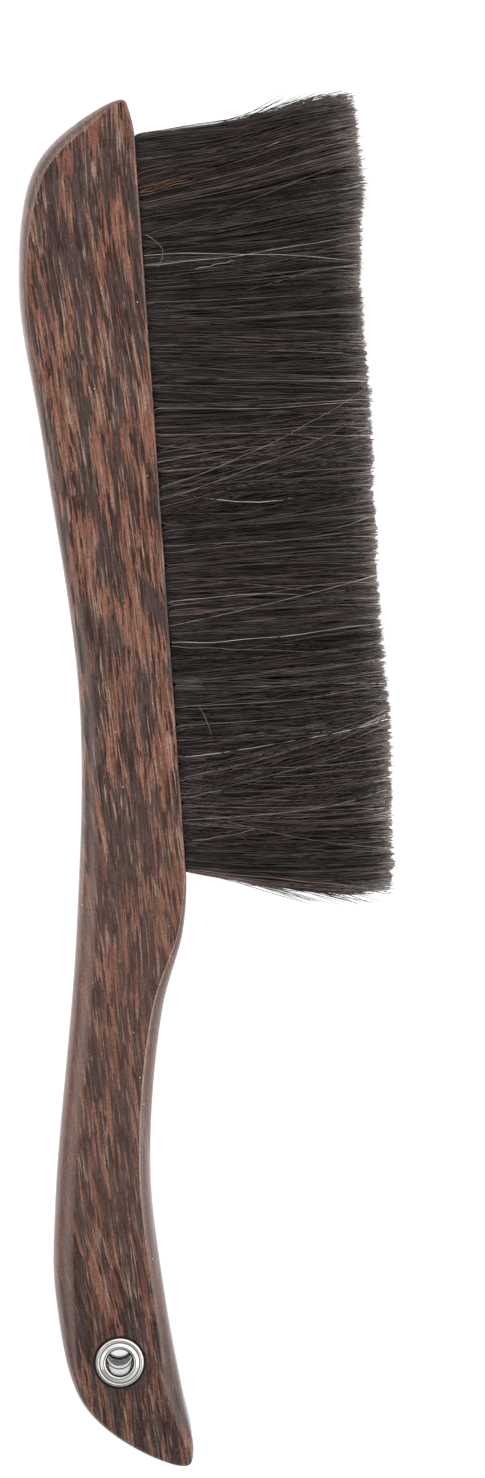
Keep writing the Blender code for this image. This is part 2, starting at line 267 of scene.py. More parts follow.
class Tree:
    """A few short calls to build the node tree of a material or of the world."""

    def __init__(self, owner, shader="Principled BSDF"):
        owner.use_nodes = True
        self.owner = owner
        self.tree = owner.node_tree
        self.shader = self.tree.nodes[shader]

    def node(self, kind, **inputs):
        made = self.tree.nodes.new(kind)
        self.fill(made, inputs)
        return made

    def fill(self, node, inputs):
        for name, value in inputs.items():
            self.put(node.inputs[name.replace("_", " ")], value)

    def put(self, socket, value):
        if isinstance(value, bpy.types.NodeSocket):
            self.tree.links.new(value, socket)
        elif hasattr(value, "__len__") and socket.type == "RGBA" and len(value) == 3:
            socket.default_value = (*value, 1)
        else:
            socket.default_value = value

    def set(self, **inputs):
        self.fill(self.shader, inputs)

    def math(self, operation, a, b=0.0, c=0.0):
        made = self.node("ShaderNodeMath")
        made.operation = operation
        for socket, value in zip(made.inputs, (a, b, c)):
            self.put(socket, value)
        return made.outputs[0]

    def product(self, first, *others):
        for other in others:
            first = self.math("MULTIPLY", first, other)
        return first

    def highest(self, first, *others):
        for other in others:
            first = self.math("MAXIMUM", first, other)
        return first

    def split(self, vector):
        return self.node("ShaderNodeSeparateXYZ", Vector=vector).outputs

    def grey(self, value):
        return self.node("ShaderNodeCombineXYZ", X=value, Y=value, Z=value).outputs[0]

    def place(self):
        """The point in the row frame, in millimetres, as three sockets."""
        parts = self.split(self.node("ShaderNodeTexCoord").outputs["Object"])
        return [self.math("MULTIPLY", part, 1 / MM) for part in parts]

    def from_eyelet(self, x, y):
        """Distance from the eyelet's axis, in millimetres."""
        aside = self.math("SUBTRACT", x, EYELET_X / MM)
        along = self.math("SUBTRACT", y, EYELET_Y / MM)
        return self.math("SQRT", self.math("MULTIPLY_ADD", aside, aside, self.product(along, along)))

    def noise(self, x, y, z, sizes, detail=2.0, roughness=0.5):
        """Noise from 0 to 1 whose features have these sizes along x, y and z, in millimetres."""
        x, y, z = (self.math("DIVIDE", part, size) for part, size in zip((x, y, z), sizes))
        joined = self.node("ShaderNodeCombineXYZ", X=x, Y=y, Z=z).outputs[0]
        made = self.node("ShaderNodeTexNoise", Vector=joined, Scale=1.0, Detail=detail, Roughness=roughness)
        return made.outputs[0]

    def swing(self, *noise):
        """The same noise from -0.5 to 0.5."""
        return self.math("SUBTRACT", self.noise(*noise), 0.5)

    def specks(self, x, y, spacing, radius):
        """1 inside small round specks strewn over x and y, and 0 elsewhere; sizes in millimetres."""
        joined = self.node("ShaderNodeCombineXYZ", X=x, Y=y).outputs[0]
        made = self.node("ShaderNodeTexVoronoi", Vector=joined, Scale=1 / spacing)
        made.voronoi_dimensions = "2D"
        red = self.node("ShaderNodeSeparateColor", Color=made.outputs["Color"]).outputs[0]
        over = self.highest(self.math("SUBTRACT", red, 0.35), 0.0)
        return self.math("LESS_THAN", made.outputs["Distance"], self.product(over, 1.5 * radius / spacing))

    def step(self, value, low, high, start=0.0, end=1.0):
        """value taken smoothly from start to end as it goes from low to high."""
        ends = {"From_Min": low, "From_Max": high, "To_Min": start, "To_Max": end}
        made = self.node("ShaderNodeMapRange", Value=value, **ends)
        made.interpolation_type = "SMOOTHSTEP"
        return made.outputs[0]

    def mix(self, share, a, b, mode="MIX"):
        made = self.node("ShaderNodeMix")
        made.data_type = "RGBA"
        made.blend_type = mode
        for socket, value in ((0, share), (6, a), (7, b)):
            self.put(made.inputs[socket], value)
        return made.outputs[2]

    def bump(self, height, distance, strength):
        made = self.node("ShaderNodeBump", Height=height, Distance=distance, Strength=strength)
        self.set(Normal=made.outputs[0])


def grain(t, x, y, z):
    """The place across the grain: it leans, turns and sways along the board."""
    lean = t.math("MULTIPLY", y, math.tan(GRAIN_AT_END))
    for place, degrees in GRAIN_TURNS:
        past = t.math("SUBTRACT", y, place)
        past = t.math("ADD", past, t.math("SQRT", t.math("MULTIPLY_ADD", past, past, GRAIN_EASE**2)))
        lean = t.math("MULTIPLY_ADD", past, math.tan(math.radians(degrees)) / 2, lean)
    sway = t.swing(x, y, z, (34, 105, 30), 1.0)
    ripple = t.swing(x, y, z, (9, 34, 9), 1.5)
    across = t.math("MULTIPLY_ADD", sway, 5.0, t.math("ADD", x, lean))
    return t.math("MULTIPLY_ADD", ripple, 2.4, across)


def stripes(t, across, y, z):
    """1 in the red-brown flames and 0 in the charcoal between them, and the tone within both."""
    fibres = t.swing(across, y, z, (0.42, 60, 1.0), 1.0)
    bundles = t.swing(across, y, z, (1.3, 60, 2.5), 1.0)
    jagged = t.math("MULTIPLY_ADD", fibres, 17.0, t.math("MULTIPLY_ADD", bundles, 22.0, y))
    wide = t.noise(across, jagged, z, (3.3, 13, 6.0), 1.0, 0.45)
    narrow = t.noise(across, jagged, z, (1.7, 11, 4.0), 1.0, 0.45)
    patch = t.math("ADD", wide, t.product(t.step(y, -70, -115), t.math("SUBTRACT", narrow, wide)))
    streaks = t.swing(across, jagged, z, (0.60, 20, 1.5), 1.0)
    flame = t.step(t.math("MULTIPLY_ADD", streaks, 0.30, patch), 0.492, 0.520)
    return flame, t.noise(across, jagged, z, (1.0, 9, 1.8), 2.0)


def crest_highlight_and_wear(t, y, dash, normal, up):
    """How pale the crest between the flat and the rounded edge is painted: a painted highlight where the
    crest catches the light, broken into flecks of rubbed lacquer.
    """
    crest = t.product(t.step(up, 0.9995, 0.996), t.step(up, 0.89, 0.92))
    along_front = t.product(t.step(y, -74, -86, 0.08, 0.85), t.step(y, -188, -150, 0.2, 1.0))
    front = t.product(t.step(normal[0], 0.03, 0.12), along_front)
    brow = t.product(t.step(y, 48, 72, 0.0, 0.42), t.step(dash, 0.46, 0.60))
    share = t.product(t.highest(front, brow, 0.06), t.step(dash, 0.30, 0.60, 0.35, 1.0))
    return t.product(crest, share, 0.9)


def wood_material():
    """Dark striped hardwood under satin lacquer: red-brown flames in charcoal, with fine pale pores."""
    t = Tree(bpy.data.materials.new("striped_hardwood"))
    x, y, z = t.place()
    normal = t.split(t.node("ShaderNodeNewGeometry").outputs["Normal"])
    up = t.math("ABSOLUTE", normal[2])
    bevel = t.step(up, 0.985, 0.95)
    from_eyelet = t.from_eyelet(x, y)
    bore = t.step(from_eyelet, 3.75, 3.65)

    across = grain(t, x, y, z)
    flame, tone = stripes(t, across, y, z)
    threads = t.noise(across, y, z, (0.52, 6, 0.8), 1.0, 0.5)
    pores = t.noise(across, y, z, (0.40, 8, 0.8), 1.0, 0.5)
    dash = t.noise(across, y, z, (0.18, 1.6, 0.25), 2.0, 0.6)
    mottle = t.noise(x, y, z, (0.28, 0.45, 0.28), 1.0, 0.6)
    vessels = t.math("ABSOLUTE", t.swing(across, y, z, (1.5, 38, 4), 1.0))
    broken = t.noise(across, y, z, (0.9, 10, 2), 1.0)
    # the bore's raw unlacquered wood, also painted pale to make up for the light that hardly reaches down
    # the bore
    raw_and_light = t.product(bore, t.step(tone, 0.42, 0.58, 0.35, 0.95))

    tone = t.step(tone, 0.36, 0.64)
    colour = t.mix(flame, t.mix(tone, *CHARCOAL), t.mix(tone, *FLAME))
    pore_vessels = t.product(t.step(vessels, 0.028, 0.012), t.step(broken, 0.46, 0.56))
    layers = (
        (t.step(threads, 0.455, 0.40, 0.0, 0.95), THREAD),
        (t.product(t.step(pores, 0.61, 0.645, 0.0, 0.72), t.step(flame, 0.0, 1.0, 0.36, 1.0)), PORE),
        (t.product(pore_vessels, t.step(pores, 0.44, 0.54, 0.0, 0.85)), VESSEL),
        (t.step(dash, 0.66, 0.72, 0.0, 0.60), DASH),
        (t.product(t.step(y, -55, -85, 0.0, 0.30), t.step(y, -178, -150)), CALM),
        # painted highlight: the rounded edges paler, most along the neck and the grip
        (t.product(bevel, t.step(y, -70, -105, 0.12, 0.62), t.step(y, -205, -190)), EDGE_HIGHLIGHT),
        # painted highlight: the rounded edges of the head paler and pinker
        (t.product(bevel, t.step(y, 25, 60, 0.0, 0.40)), FOREHEAD),
        # painted highlight along the crest, partly rubbed lacquer
        (crest_highlight_and_wear(t, y, dash, normal, up), CREST_HIGHLIGHT_AND_WEAR),
        (t.specks(x, y, 11, 0.17), SPECK),
        # pale raw wood in the bore, partly painted light
        (raw_and_light, RAW_WOOD_AND_LIGHT),
        # painted shade: the wood darkened in and round the seat of the front flange
        (t.product(t.step(from_eyelet, 6.15, 5.85), t.step(raw_and_light, 0.1, 0.0, 0.0, 0.75)), FLANGE_RING_SHADE),
    )
    for share, tint in layers:
        colour = t.mix(share, colour, tint)

    shade = t.product(t.step(y, -130, -105, 0.96, 1.0), t.step(y, -70, -30, 1.09, 1.0))
    shade = t.product(shade, t.step(y, -200, -140, 0.73, 1.0))
    least, most = t.step(y, -198, -175, 0.66, 0.74), t.step(y, -198, -175, 1.34, 1.26)
    shade = t.product(shade, t.step(mottle, 0.3, 0.7, least, most))
    lacquer = t.step(bore, 0.0, 0.5, 0.9, t.step(mottle, 0.36, 0.62, 0.12, 0.85))
    lacquer = t.product(lacquer, t.step(x, -0.8, -0.45, 1.0, 0.3))
    colour = t.mix(1.0, colour, t.grey(shade), "MULTIPLY")
    t.set(Base_Color=colour, Coat_Weight=lacquer, Coat_Roughness=0.14)
    t.set(Roughness=t.highest(t.step(dash, 0.3, 0.7, 0.30, 0.42), t.product(bore, 0.9)))
    t.bump(t.math("MULTIPLY_ADD", t.step(dash, 0.36, 0.28), -0.6, pores), 0.05 * MM, 0.4)
    return t.owner


def hair_material():
    """Horse hair: each strand has its own colour, a little uneven along its length."""
    t = Tree(bpy.data.materials.new("dark_horse_hair"))
    own = t.node("ShaderNodeAttribute")
    own.attribute_name = "hair_colour"
    uneven = t.noise(*t.place(), (7, 1.2, 1.2), 2.0)
    shade = t.grey(t.step(uneven, 0.3, 0.7, 0.7, 1.3))
    t.set(Base_Color=t.mix(1.0, own.outputs["Color"], shade, "MULTIPLY"))
    t.set(Roughness=t.step(uneven, 0.3, 0.7, 0.36, 0.5), Specular_IOR_Level=0.45)
    return t.owner


def nickel_material():
    """Nickel plate with faint turning marks and a little haze; painted shade makes it near-black in the
    throat and the rear barrel.
    """
    t = Tree(bpy.data.materials.new("polished_nickel"))
    x, y, z = t.place()
    haze = t.noise(x, y, z, (1.1, 1.1, 0.6), 3.0)
    scuff = t.noise(x, y, z, (0.12, 0.9, 0.12), 2.0)
    plate = t.mix(haze, (0.78, 0.76, 0.735), (0.92, 0.905, 0.885))
    from_eyelet = t.from_eyelet(x, y)
    # painted shade: near-black inside the rear barrel and at the top of the front throat
    rear_barrel_shade = t.product(t.step(from_eyelet, 3.3, 3.1), t.step(z, 6, 5))
    throat = t.product(t.step(from_eyelet, 3.34, 3.16), t.step(z, 20.5, 21.1, 0.0, 0.85))
    t.set(Base_Color=t.mix(t.highest(rear_barrel_shade, throat), plate, (0.02, 0.018, 0.016)), Metallic=1.0)
    t.set(Roughness=t.step(haze, 0.3, 0.7, 0.12, 0.22))
    t.bump(scuff, 0.01 * MM, 0.5)
    return t.owner


def wire_material():
    """Galvanised flat wire."""
    t = Tree(bpy.data.materials.new("galvanised_wire"))
    spangle = t.noise(*t.place(), (0.5, 0.5, 0.5), 3.0)
    t.set(Base_Color=t.mix(spangle, (0.42, 0.43, 0.44), (0.60, 0.61, 0.62)), Metallic=1.0)
    t.set(Roughness=t.step(spangle, 0.3, 0.7, 0.32, 0.5))
    return t.owner


def paper_material():
    """The white floor. Seen from the camera it is a little brighter, and it keeps the shadow."""
    t = Tree(bpy.data.materials.new("white_floor"))
    paper = t.noise(*t.place(), (0.8, 0.8, 0.8), 3.0)
    t.set(Base_Color=t.mix(paper, (0.60, 0.60, 0.60), (0.63, 0.63, 0.63)), Roughness=0.9)
    rays = t.node("ShaderNodeLightPath").outputs
    seen = t.highest(rays["Is Camera Ray"], rays["Is Glossy Ray"], rays["Is Transmission Ray"])
    t.set(Specular_IOR_Level=0.0, Emission_Color=(1, 1, 1), Emission_Strength=t.product(seen, FLOOR_LIFT))
    return t.owner


# ---------------- meshes


def read(items, attribute, width=1, kind=float):
    """An attribute of a mesh's vertices, corners or faces, as an array with this many columns."""
    values = np.empty(len(items) * width, kind)
    items.foreach_get(attribute, values)
    return values.reshape(-1, width) if width > 1 else values


def add_object(name, mesh, material):
    mesh.materials.append(material)
    made = bpy.data.objects.new(name, mesh)
    bpy.context.scene.collection.objects.link(made)
    return made


def object_from(bm, name, material):
    bmesh.ops.recalc_face_normals(bm, faces=bm.faces)
    mesh = bpy.data.meshes.new(name)
    bm.to_mesh(mesh)
    bm.free()
    return add_object(name, mesh, material)


def smooth(obj, degrees=32):
    obj.data.shade_smooth()
    obj.data.set_sharp_from_angle(angle=math.radians(degrees))


def skin(bm, rings, cap_ends=True):
    """Quads between rings of as many vertices each, and a flat cap on the first and the last."""
    for low, high in zip(rings, rings[1:]):
        for i in range(len(low)):
            j = (i + 1) % len(low)
            bm.faces.new((low[i], low[j], high[j], high[i]))
    if cap_ends:
        bm.faces.new(rings[0][::-1])
        bm.faces.new(rings[-1])


def lathe(bm, centre, profile, sides, cap_ends=True):
    """A solid turned about a vertical axis, from (radius, z) points."""
    x, y = centre
    angles = [2 * math.pi * i / sides for i in range(sides)]
    rings = [
        [bm.verts.new((x + radius * math.cos(a), y + radius * math.sin(a), z)) for a in angles]
        for radius, z in profile
    ]
    skin(bm, rings, cap_ends)
    return rings


# ---------------- the wooden stock


def nose_y(share):
    return FACE_LENGTH / 2 + share * NOSE_LENGTH


def head_y(share):
    return share * nose_y(1.0)


def handle_y(share):
    return -FACE_LENGTH / 2 - share * HANDLE_LENGTH


def control_points():
    """(x from the bristle face, y, edge radius) round the board, and the depths of the edges."""

    def behind(start, end):
        return lambda share: -blend(start, end, share)

    head_x, waist_x = behind(TIP_SETBACK, HEAD_DEPTH), behind(HEAD_DEPTH, WAIST_DEPTH)
    grip_x, end_x = behind(WAIST_DEPTH, GRIP_BACK), behind(GRIP_BACK, END_FRONT)
    palm_x, neck_x = behind(END_FRONT, GRIP_FRONT), behind(GRIP_FRONT, 0)
    points = [
        (0, nose_y(0.0), FACE_EDGE, FACE_EDGE),
        (-TIP_SETBACK * 0.42, nose_y(0.68), NOSE_EDGE, TIP_EDGE),
        (-TIP_SETBACK, nose_y(1.0), NOSE_EDGE, TIP_EDGE),
        (head_x(0.372), head_y(0.965), FOREHEAD_EDGE, ROUNDING_DEPTH),
        (head_x(0.80), head_y(0.851), FOREHEAD_EDGE, ROUNDING_DEPTH),
        (-HEAD_DEPTH, head_y(0.570), HEAD_EDGE, ROUNDING_DEPTH),
        (waist_x(0.42), head_y(0.170), BROW_EDGE, BACK_EDGE),
        (-WAIST_DEPTH, head_y(-0.460), BACK_EDGE, BACK_EDGE),
        (grip_x(0.292), handle_y(0.080), GRIP_EDGE, ROUNDING_DEPTH),
        (grip_x(0.90), handle_y(0.532), GRIP_EDGE, ROUNDING_DEPTH),
        (-GRIP_BACK, handle_y(0.700), GRIP_EDGE, ROUNDING_DEPTH),
        (end_x(0.158), handle_y(0.883), CORNER_EDGE, HEAD_EDGE),
        (end_x(0.600), handle_y(0.972), END_EDGE, TIP_EDGE),
        (end_x(0.955), handle_y(1.0), END_EDGE, TIP_EDGE),
        (-END_FRONT, handle_y(0.978), CORNER_EDGE, HEAD_EDGE),
        (palm_x(0.28), handle_y(0.890), BACK_EDGE, ROUNDING_DEPTH),
        (palm_x(0.72), handle_y(0.740), PALM_EDGE, ROUNDING_DEPTH),
        (-GRIP_FRONT, handle_y(0.487), PALM_EDGE, ROUNDING_DEPTH),
        (neck_x(0.408), handle_y(0.225), BROW_EDGE, ROUNDING_DEPTH),
        (neck_x(0.874), handle_y(0.092), TIP_EDGE, BROW_EDGE),
        (0, handle_y(0.0), FACE_EDGE, FACE_EDGE),
    ]
    return [Vector(point[:3]) for point in points], [point[3] for point in points]


def spline(points, steps):
    """A smooth curve through the points: cubic pieces with tangents set by the chord lengths."""
    first = points[0] * 2 - points[1]
    last = points[-1] * 2 - points[-2]
    first.x = last.x = 0
    held = [first, *points, last]
    made = []
    for p0, p1, p2, p3 in zip(held, held[1:], held[2:], held[3:]):
        before, chord, after = ((b - a).length ** 0.5 for a, b in ((p0, p1), (p1, p2), (p2, p3)))
        start = (p1 - p0) / before - (p2 - p0) / (before + chord) + (p2 - p1) / chord
        end = (p2 - p1) / chord - (p3 - p1) / (chord + after) + (p3 - p2) / after
        for k in range(steps):
            t = k / steps
            made.append(
                p1 * (2 * t**3 - 3 * t**2 + 1)
                + start * chord * (t**3 - 2 * t**2 + t)
                + p2 * (3 * t**2 - 2 * t**3)
                + end * chord * (t**3 - t**2)
            )
    made.append(points[-1])
    return made


def stock_rings():
    """The board's outline at each level, from its underside up, with a narrow flat rim first and last."""
    points, depths = control_points()
    outline = spline(points, OUTLINE_STEPS)
    count = len(outline)
    edges = []
    for i, point in enumerate(outline):
        along = outline[(i + 1) % count] - outline[i - 1]
        side = Vector((-along.y, along.x)).normalized()
        ends = point is outline[0] or point is outline[-1]
        before, share = divmod(i, OUTLINE_STEPS)
        after = min(before + 1, len(depths) - 1)
        depth = blend(depths[before], depths[after], smoothstep(0, OUTLINE_STEPS, share))
        start = EDGE_START * (depth / point.z) ** EDGE_FALL
        edges.append((point, Vector((-1, 0)) if ends else side, depth, start))
    steps = [0, 0.02, *((k + 1) / EDGE_STEPS for k in range(EDGE_STEPS))]
    under = [(-1, 0, FLAT_RIM), *((-1, step, 0) for step in steps)]
    levels = under + [(1, step, rim) for _, step, rim in under[::-1]]
    rings = []
    for side, step, rim in levels:
        ring = []
        for point, normal, depth, start in edges:
            rise = blend(start, math.pi / 2, step)
            out = (math.sin(rise) - math.sin(start)) / (1 - math.sin(start))
            down = 1 - math.cos(rise) / math.cos(start)
            place = point.xy + normal * (point.z * (1 - out) + rim)
            ring.append((place.x + FACE_X, place.y, HALF + side * (HALF - depth * down)))
        rings.append(ring)
    return rings


def add_uv(mesh, place):
    """An unwrapping made here, which gives each face its own room."""
    layer = mesh.uv_layers.new(name="OFBake")
    layer.data.foreach_set("uv", np.asarray(place, np.float32).ravel())


def stock_uv(mesh):
    """Top, underside, both sides and the insides of the holes, side by side, long edges upright."""
    points = read(mesh.vertices, "co", 3)[read(mesh.loops, "vertex_index", kind=np.int32)]
    totals = read(mesh.polygons, "loop_total", kind=np.int32)
    normals = np.repeat(read(mesh.polygons, "normal", 3), totals, axis=0)
    centres = np.repeat(read(mesh.polygons, "center", 3), totals, axis=0)
    low, high = np.array(STOCK_LOW), np.array(STOCK_HIGH)
    x, y, z = ((points - low) / (high - low)).T
    top = normals[:, 2] > 0.7
    under = normals[:, 2] < -0.7
    front = normals[:, 0] > 0
    u = np.where(top, x * 0.32, 0.33 + x * 0.27)
    u = np.where(top | under, u, np.where(front, 0.62 + z * 0.17, 0.80 + z * 0.17))
    eyelet = np.hypot(centres[:, 0] - EYELET_X, centres[:, 1] - EYELET_Y) < FLANGE_RADIUS + 1 * MM
    tuft_hole = (centres[:, 0] < FACE_X - 0.02 * MM) & (centres[:, 0] > FACE_X - HOLE_DEPTH - 0.1 * MM)
    tuft_hole &= (np.abs(normals[:, 0]) < 0.3) & (np.abs(centres[:, 2] - HALF) < HALF - 1.2 * MM)
    tuft_hole &= np.abs(centres[:, 1]) < FACE_LENGTH / 2 - 0.1 * MM
    inside = tuft_hole | (eyelet & (np.abs(normals[:, 2]) < 0.7))
    u = np.where(inside, 0.98 + 0.015 * z, u)
    add_uv(mesh, np.stack([u * 0.99 + 0.004, y * 0.99 + 0.005], axis=1))


def tuft_holes():
    """One cutter with a twelve-sided hole for each tuft."""
    bm = bmesh.new()
    angles = [2 * math.pi * (k + 0.5) / HOLE_SIDES for k in range(HOLE_SIDES)]
    for tuft in TUFTS:
        _, y, z = tuft["root"]
        rings = []
        for x, radius in (
            (FACE_X - HOLE_DEPTH, HOLE_RADIUS),
            (FACE_X - MOUTH, HOLE_RADIUS),
            (FACE_X + MOUTH, HOLE_RADIUS + 2 * MOUTH),
        ):
            ring = [(x, y + radius * math.cos(a), z + radius * math.sin(a)) for a in angles]
            rings.append([bm.verts.new(place) for place in ring])
        skin(bm, rings)
    return object_from(bm, "tuft_holes", WOOD)


def eyelet_holes():
    """Cutters for the hole that takes both barrels, and for the seats of both flanges."""
    low, high = -THICKNESS, 2 * THICKNESS
    step = FRONT_LOW - 0.1 * MM
    bore = [(REAR_HOLE, low), (REAR_HOLE, REAR_BARREL_TOP)]
    bore += [(REAR_HOLE + groove * MM, z * MM) for groove, z in DRILL_MARKS]
    bore += [(REAR_HOLE, step), (FRONT_HOLE, step), (FRONT_HOLE, high)]
    profiles = {
        "eyelet_bore": bore,
        "eyelet_seat": [(REAR_SEAT, low), (REAR_SEAT, REAR_SEAT_DEPTH)],
        "eyelet_front_seat": [(FRONT_SEAT, THICKNESS - FRONT_SEAT_DEPTH), (FRONT_SEAT, high)],
    }
    cutters = []
    for name, profile in profiles.items():
        bm = bmesh.new()
        lathe(bm, (EYELET_X, EYELET_Y), profile, EYELET_SIDES)
        cutters.append(object_from(bm, name, WOOD))
    return cutters


def make_stock():
    bm = bmesh.new()
    skin(bm, [[bm.verts.new(place) for place in ring] for ring in stock_rings()])
    stock = object_from(bm, "wooden_stock", WOOD)
    cutters = [tuft_holes(), *eyelet_holes()]
    for cutter in cutters:
        cut = stock.modifiers.new(cutter.name, "BOOLEAN")
        cut.operation = "DIFFERENCE"
        cut.solver = "EXACT"
        cut.object = cutter
    bpy.context.view_layer.update()
    graph = bpy.context.evaluated_depsgraph_get()
    mesh = bpy.data.meshes.new_from_object(stock.evaluated_get(graph))
    stock.modifiers.clear()
    stock.data = mesh
    for cutter in cutters:
        bpy.data.objects.remove(cutter)
    smooth(stock)
    stock_uv(mesh)
    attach(stock, "root")
    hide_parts("wooden_handle")


# ---------------- eyelets


def make_eyelet(name, node, profile):
    bm = bmesh.new()
    rings = lathe(bm, (EYELET_X, EYELET_Y), profile, EYELET_SIDES, cap_ends=False)
    skin(bm, [rings[-1], rings[0]], cap_ends=False)
    eyelet = object_from(bm, name, NICKEL)
    smooth(eyelet, 50)
    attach(eyelet, "root")
    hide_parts(node)


def arc(centre, radius, start, end, steps):
    """Points on an arc in the (radius, z) plane, in metres, from a centre and a radius in millimetres; the
    angles are in degrees from straight outward, upward positive."""
    x, z = centre
    angles = np.radians(np.linspace(start, end, steps))
    return [((x + radius * math.cos(a)) * MM, (z + radius * math.sin(a)) * MM) for a in angles]


def make_front_eyelet():
    """From the barrel's lower edge up through the throat, over the crown, the groove and the outer bead."""
    low, face = FRONT_LOW / MM, THICKNESS / MM
    under = (face - FRONT_SEAT_DEPTH / MM + 0.01) * MM
    profile = [
        (2.88 * MM, FRONT_LOW),
        (2.90 * MM, FRONT_LOW + 2.4 * MM),
        *arc((3.14, low + 2.9), 0.32, 230, 130, 5),
        (2.93 * MM, FRONT_LOW + 3.4 * MM),
        (2.93 * MM, THICKNESS - 0.1 * MM),
        *arc((3.58, face + 0.20), 0.65, 180, 120, 8),
        *((radius * MM, THICKNESS + height * MM) for radius, height in FLANGE),
        (5.46 * MM, under),
        (3.40 * MM, under),
        (3.40 * MM, FRONT_LOW),
    ]
    make_eyelet("eyelet_front_dressed", "front_eyelet", profile)


def make_rear_eyelet():
    """From the barrel's upper edge down through the throat and over the sunken flange."""
    under = REAR_SEAT_DEPTH - 0.01 * MM
    profile = [
        (3.05 * MM, REAR_BARREL_TOP),
        (2.97 * MM, 0.75 * MM),
        *arc((3.62, 0.70), 0.65, 184, 270, 8),
        *arc((4.55, 0.52), 0.50, 250, 310, 6),
        *arc((5.25, 0.62), 0.35, 250, 380, 7),
        (5.50 * MM, under),
        (3.20 * MM, under),
        (3.20 * MM, REAR_BARREL_TOP),
    ]
    make_eyelet("eyelet_rear_dressed", "rear_eyelet", profile)


# ---------------- hair


def read_tuft(node):
    """Where the tuft's hole is, and the cell that its tips fill, from its CAD solid."""
    points = read(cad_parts[node].data.vertices, "co", 3)
    plug = points[points[:, 0] < FACE_X - 1 * MM]
    tips = points[points[:, 0] > FACE_X + 40 * MM]
    root = (plug.min(axis=0) + plug.max(axis=0)) / 2
    low, high = tips.min(axis=0), tips.max(axis=0)
    return {
        "node": node,
        "root": (FACE_X, root[1], root[2]),
        "at_end": abs(root[1]) > FACE_LENGTH / 2 - TUFT_PITCH / 2,
        "length": high[0] - FACE_X,
        "low": low,
        "high": high,
        "middle": (low[1:] + high[1:]) / 2,
        "half": (high[1:] - low[1:]) / 2,
    }


def disc_to_square(disc):
    """Points of the unit disc moved to the square around it, without tearing the middle."""
    radius = np.hypot(*disc.T)
    angle = np.arctan2(disc[:, 1], disc[:, 0])
    turn = np.mod(angle + math.pi / 4, math.pi / 2) - math.pi / 4
    side = np.round((angle - turn) / (math.pi / 2)).astype(int) % 4
    along = radius * turn / (math.pi / 4)
    moved = np.stack([radius, along], axis=1)
    cos = np.array([1, 0, -1, 0])[side]
    sin = np.array([0, 1, 0, -1])[side]
    return np.stack([moved[:, 0] * cos - moved[:, 1] * sin, moved[:, 0] * sin + moved[:, 1] * cos], axis=1)


def strand_tubes(name, paths, radii, colours, fade_and_light, material):
    """Closed tubes along paths (strand, station, xyz), each with its own colour and its own UV cell."""
    strands, stations = radii.shape
    along = np.gradient(paths, axis=1)
    along /= np.linalg.norm(along, axis=2, keepdims=True)
    side = np.cross(along, (0.0, 0.0, 1.0))
    side /= np.linalg.norm(side, axis=2, keepdims=True)
    up = np.cross(side, along)
    angles = 2 * math.pi * np.arange(HAIR_SIDES) / HAIR_SIDES + math.pi / 2
    ring = side[:, :, None] * np.cos(angles)[:, None] + up[:, :, None] * np.sin(angles)[:, None]
    points = paths[:, :, None] + ring * radii[:, :, None, None]

    index = np.arange(strands * stations * HAIR_SIDES).reshape(strands, stations, HAIR_SIDES)
    turned = np.roll(index, -1, axis=2)
    quads = np.stack([index[:, :-1], turned[:, :-1], turned[:, 1:], index[:, 1:]], axis=3).reshape(-1, 4)
    caps = np.concatenate([index[:, 0, ::-1], index[:, -1]])
    loops = np.concatenate([quads.ravel(), caps.ravel()]).astype(np.int32)
    totals = np.concatenate([np.full(len(quads), 4), np.full(len(caps), 3)]).astype(np.int32)
    starts = np.concatenate([[0], np.cumsum(totals)[:-1]]).astype(np.int32)

    mesh = bpy.data.meshes.new(name)
    mesh.vertices.add(points.size // 3)
    mesh.vertices.foreach_set("co", points.astype(np.float32).ravel())
    mesh.loops.add(len(loops))
    mesh.loops.foreach_set("vertex_index", loops)
    mesh.polygons.add(len(totals))
    mesh.polygons.foreach_set("loop_start", starts)
    mesh.polygons.foreach_set("loop_total", totals)
    mesh.update(calc_edges=True)

    grid = math.ceil(math.sqrt(strands))
    cell = np.stack([np.arange(strands) % grid, np.arange(strands) // grid], axis=1)
    k, s = np.meshgrid(np.arange(stations - 1), np.arange(HAIR_SIDES), indexing="ij")
    u = np.stack([s, s + 1, s + 1, s], axis=2) / HAIR_SIDES
    v = np.stack([k, k, k + 1, k + 1], axis=2) / (stations - 1)
    patch = np.stack([u, v], axis=3) * 0.84 + 0.08
    tubes = cell[:, None, None, None] + patch
    corner = np.array([[0.08, 0.02], [0.5, 0.06], [0.92, 0.02]])
    ends = np.concatenate([cell[:, None] + corner, cell[:, None] + (0, 0.92) + corner])
    add_uv(mesh, np.concatenate([tubes.reshape(-1, 2), ends.reshape(-1, 2)]) / grid)

    layer = mesh.color_attributes.new("hair_colour", "FLOAT_COLOR", "POINT")
    tint = np.ones((strands, stations, HAIR_SIDES, 4), np.float32)
    grey = colours.mean(axis=1, keepdims=True) * FADE_AND_LIGHT_TINT
    tint[..., :3] = colours[:, None, None] + grey[:, None, None] * (fade_and_light[:, None, None] - 1)
    layer.data.foreach_set("color", tint.ravel())
    mesh.shade_smooth()
    return add_object(name, mesh, material)


def bumps_at(y, bumps):
    """The sum of smooth bumps at this place along the row."""
    return sum(size * np.exp(-(((y / MM - at) / width) ** 2)) for at, width, size in bumps)


